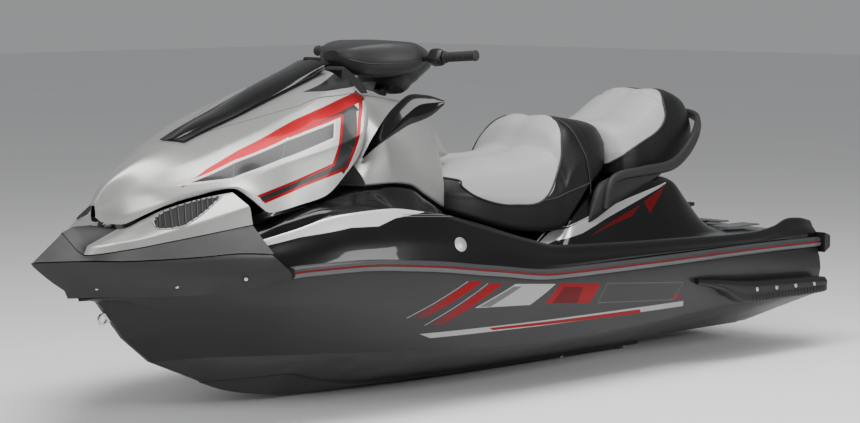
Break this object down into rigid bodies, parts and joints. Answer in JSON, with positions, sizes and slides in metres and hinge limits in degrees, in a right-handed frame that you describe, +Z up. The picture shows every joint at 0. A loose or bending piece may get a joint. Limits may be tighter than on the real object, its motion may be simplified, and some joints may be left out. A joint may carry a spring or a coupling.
{
  "type": "personal watercraft",
  "caption": "Three-seat runabout personal watercraft with a V hull, steered water-jet pump, stepped saddle seat, front storage hatch and fold-down boarding step.",
  "frame": {"origin": "on the centreline at mid length, on the still-water line at the empty weight", "axes": "+X forward to the bow, +Y to port, +Z up"},
  "size_m": [3.368, 1.194, 1.178],
  "materials": {
    "hull_gelcoat": "satin",
    "deck_gloss": "gloss",
    "rail_vinyl": "satin",
    "matte_moulding": "matte",
    "silver_paint": "metallic",
    "black_plastic": "satin",
    "display": "gloss",
    "mirror_face": "polished",
    "dark_metal": "satin",
    "grip_rubber": "matte",
    "seat_vinyl_black": "satin",
    "seat_vinyl_silver": "satin",
    "mat_foam": "matte",
    "stainless": "satin",
    "cast_alloy": "satin"
  },
  "bodies": {
    "craft": {"hull": "hull_gelcoat", "deck": "deck_gloss", "rub_rails": "rail_vinyl", "bow_bumper": "matte_moulding", "nose_cover": "matte_moulding", "intake_surround": "silver_paint", "intake_grilles": "black_plastic", "storage_bin": "black_plastic", "fuel_cap": "black_plastic", "console": "silver_paint", "meter_visor": "black_plastic", "instrument_panel": "display", "mirror_housings": "deck_gloss", "mirror_glass": "mirror_face", "reverse_lever": "black_plastic", "front_seat": "seat_vinyl_black", "rear_seat": "seat_vinyl_silver", "grab_rail": "matte_moulding", "tow_hook": "black_plastic", "traction_mats": "mat_foam", "stern_bumpers": "black_plastic", "sponsons": "black_plastic", "step_brackets": "stainless", "engine_block": "cast_alloy", "pump_housing": "cast_alloy", "ride_plate": "cast_alloy", "intake_grate": "stainless", "bow_eye": "stainless", "stern_eyes": "stainless", "drain_plugs": "black_plastic"},
    "hatch": {"front_hatch": "silver_paint", "hatch_ridge": "deck_gloss"},
    "glove_box": {"glove_box_lid": "matte_moulding"},
    "bars": {"handlebar": "dark_metal", "handle_pad": "matte_moulding", "grips": "grip_rubber", "control_pods": "black_plastic", "throttle_lever": "black_plastic"},
    "shaft": {"drive_shaft": "stainless", "impeller": "stainless"},
    "nozzle": {"steering_nozzle": "cast_alloy"},
    "bucket": {"reverse_bucket": "cast_alloy"},
    "step": {"boarding_step": "stainless"}
  },
  "joints": [
    {"name": "steering", "type": "hinge", "parent": "craft", "child": "bars", "pos_m": [0.195, 0, 0.765], "axis": [-0.5, 0, 0.866], "range_deg": [-20, 20]},
    {"name": "nozzle_turn", "type": "hinge", "parent": "craft", "child": "nozzle", "pos_m": [-1.47, 0, -0.085], "axis": [0, 0, 1], "range_deg": [-20, 20]},
    {"name": "bucket_drop", "type": "hinge", "parent": "nozzle", "child": "bucket", "pos_m": [-1.485, 0, -0.085], "axis": [0, -1, 0], "range_deg": [0, 78]},
    {"name": "impeller_spin", "type": "hinge", "parent": "craft", "child": "shaft", "pos_m": [-1.2, 0, -0.085], "axis": [1, 0, 0], "continuous": true},
    {"name": "hatch_lift", "type": "hinge", "parent": "craft", "child": "hatch", "pos_m": [0.509, 0, 0.868], "axis": [0, -1, 0], "range_deg": [0, 50]},
    {"name": "glove_box_open", "type": "hinge", "parent": "craft", "child": "glove_box", "pos_m": [0.12703, 0, 0.71103], "axis": [0, 1, 0], "range_deg": [0, 60]},
    {"name": "step_drop", "type": "hinge", "parent": "craft", "child": "step", "pos_m": [-1.649, 0, -0.05], "axis": [0, -1, 0], "range_deg": [0, 170]}
  ],
  "couplings": [
    {"joint": "nozzle_turn", "follows": "steering", "ratio": -1}
  ]
}
